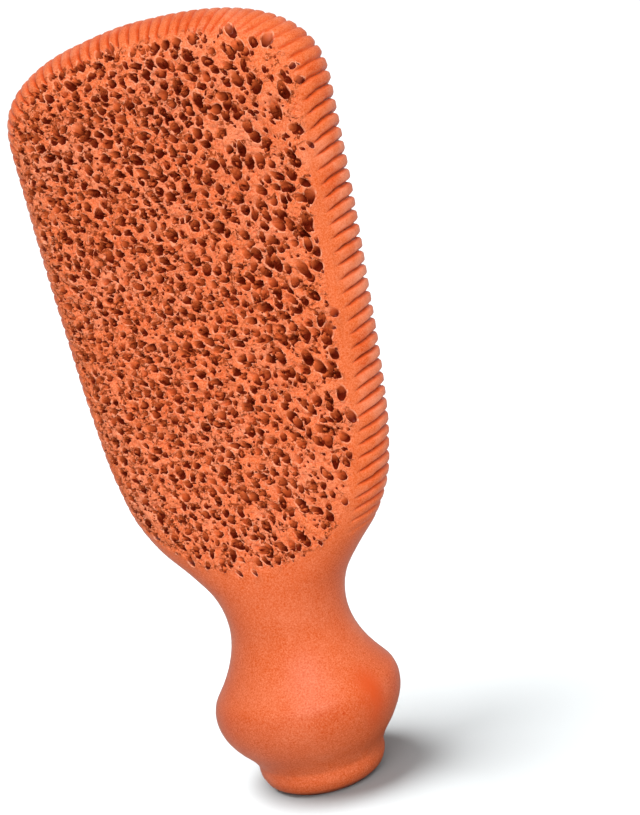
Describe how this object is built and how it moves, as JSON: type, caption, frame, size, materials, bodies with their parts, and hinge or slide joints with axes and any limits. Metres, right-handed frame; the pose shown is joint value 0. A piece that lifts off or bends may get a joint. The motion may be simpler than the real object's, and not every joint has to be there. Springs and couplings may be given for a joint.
{
  "type": "clay foot scrubber",
  "caption": "Fired-clay foot scrubber: a flat paddle with a face of poked pits and a notched round rim, on a smooth neck, a round hand knob and a short round foot.",
  "frame": {"origin": "centre of the foot's flat underside", "axes": "+Z from the foot up through the paddle, X across the paddle's width, pitted face towards -Y"},
  "size_m": [0.0628, 0.0372, 0.15],
  "materials": {
    "terracotta": "unglazed fired clay, satin where smoothed, rough in the pits"
  },
  "bodies": {
    "root": {"foot_scrubber": "terracotta"}
  },
  "joints": []
}
